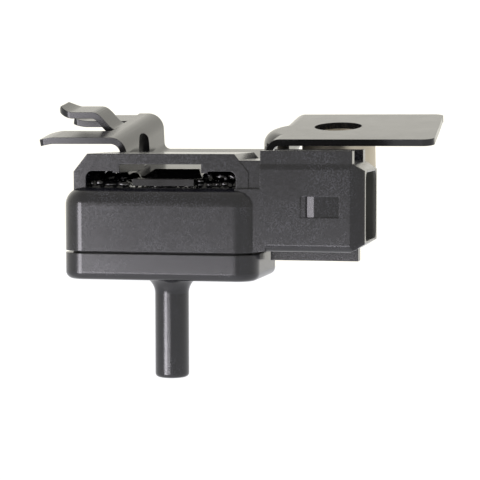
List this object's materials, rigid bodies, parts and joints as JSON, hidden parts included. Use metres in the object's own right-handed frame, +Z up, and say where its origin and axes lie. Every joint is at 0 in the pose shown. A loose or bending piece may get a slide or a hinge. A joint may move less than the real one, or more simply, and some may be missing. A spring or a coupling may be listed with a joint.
{
  "type": "manifold absolute pressure sensor",
  "caption": "Engine air pressure sensor with a hose port below, a sideways plug socket and a pressed-steel bracket with a bolt flange and a spring clip.",
  "frame": {"origin": "on the pressure port's axis, where its straight wall begins above the rounded end", "axes": "+Z up along the port towards the body, +X to the plug socket, +Y to the back, where the bracket is"},
  "size_m": [0.073, 0.0468, 0.049],
  "materials": {
    "housing_plastic": "glass-filled polyester, moulded black, fine satin texture",
    "cover_plastic": "glass-filled polyester, moulded black, fine satin texture",
    "bead_rubber": "cured silicone bead, satin",
    "filter_bronze": "sintered bronze, matte",
    "bracket_coating": "pressed steel with a thin satin black coating",
    "potting_resin": "poured black epoxy, glossy",
    "board_laminate": "glass-epoxy laminate, green lacquer",
    "header_brass": "plated header, satin",
    "pedestal_glass": "bonded glass, clear",
    "die_silicon": "polished silicon",
    "cap_steel": "drawn steel, satin",
    "ring_rubber": "moulded rubber",
    "chip_moulding": "moulded epoxy",
    "capacitor_ceramic": "fired ceramic",
    "resistor_film": "glazed film",
    "terminal_brass": "stamped brass, tin plated",
    "solder": "tin solder"
  },
  "bodies": {
    "root": {"housing": "housing_plastic", "port_cover": "cover_plastic", "sealing_bead": "bead_rubber", "port_filter": "filter_bronze", "bracket": "bracket_coating", "flange_spacer": "bracket_coating", "potting_fill": "potting_resin", "circuit_board": "board_laminate", "cell_header": "header_brass", "cell_pedestal": "pedestal_glass", "sensing_die": "die_silicon", "cell_cap": "cap_steel", "cell_o_ring": "ring_rubber", "signal_chip": "chip_moulding", "capacitor_1": "capacitor_ceramic", "capacitor_2": "capacitor_ceramic", "capacitor_3": "capacitor_ceramic", "trim_resistor_1": "resistor_film", "trim_resistor_2": "resistor_film", "supply_terminal": "terminal_brass", "signal_terminal": "terminal_brass", "ground_terminal": "terminal_brass", "solder_joint_1": "solder", "solder_joint_2": "solder", "solder_joint_3": "solder"}
  },
  "joints": []
}
